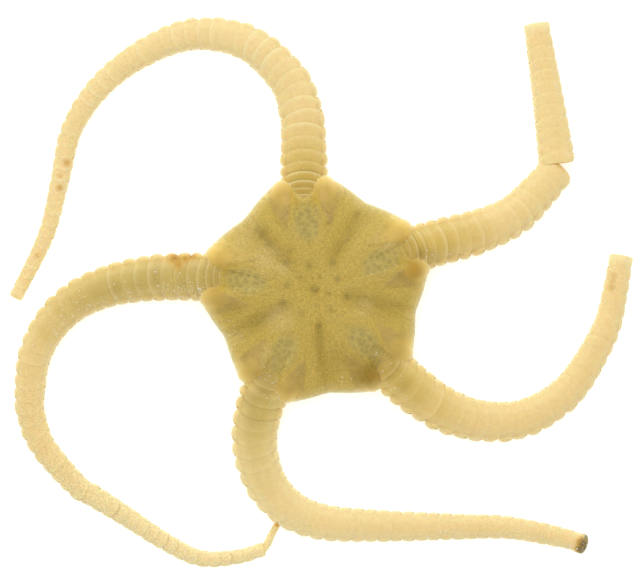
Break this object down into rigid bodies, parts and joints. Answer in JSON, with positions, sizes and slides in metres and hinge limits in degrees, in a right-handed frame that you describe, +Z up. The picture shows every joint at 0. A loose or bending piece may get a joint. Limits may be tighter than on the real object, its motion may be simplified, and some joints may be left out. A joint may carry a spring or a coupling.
{
  "type": "preserved brittle star",
  "caption": "Life-size preserved brittle star lying mouth side down: a granular disc with notched lobes and long, tapering, plated arms bent in curves, some broken short.",
  "frame": {"origin": "on the surface it lies on, under the middle of the bounding box", "axes": "+X along the longest spread of the arms, +Y the way arm_1 leaves the disc, +Z up towards the animal's back"},
  "size_m": [0.0625, 0.0552, 0.0049],
  "materials": {
    "disc_skin": "fine granular skin over small plates, preserved, pale olive ochre, waxy and slightly translucent",
    "arm_plates": "smooth overlapping limestone plates under thin skin, straw yellow, waxy satin",
    "mouth_parts": "small pale limestone jaws with blunt papillae, satin"
  },
  "bodies": {
    "root": {"arm_1_length_1": "arm_plates", "arm_1_length_2": "arm_plates", "arm_1_length_3": "arm_plates", "arm_1_length_4": "arm_plates", "arm_1_length_5": "arm_plates", "arm_2_broken_length": "arm_plates", "arm_2_length_1": "arm_plates", "arm_2_length_2": "arm_plates", "arm_3_length_1": "arm_plates", "arm_3_length_2": "arm_plates", "arm_3_length_3": "arm_plates", "arm_3_length_4": "arm_plates", "arm_4_length_1": "arm_plates", "arm_4_length_2": "arm_plates", "arm_4_length_3": "arm_plates", "arm_4_length_4": "arm_plates", "arm_5_length_1": "arm_plates", "arm_5_length_2": "arm_plates", "arm_5_length_3": "arm_plates", "arm_5_length_4": "arm_plates", "arm_5_length_5": "arm_plates", "arm_5_length_6": "arm_plates", "arm_5_new_tip": "arm_plates", "disc": "disc_skin", "jaw_1": "mouth_parts", "jaw_2": "mouth_parts", "jaw_3": "mouth_parts", "jaw_4": "mouth_parts", "jaw_5": "mouth_parts"}
  },
  "joints": []
}
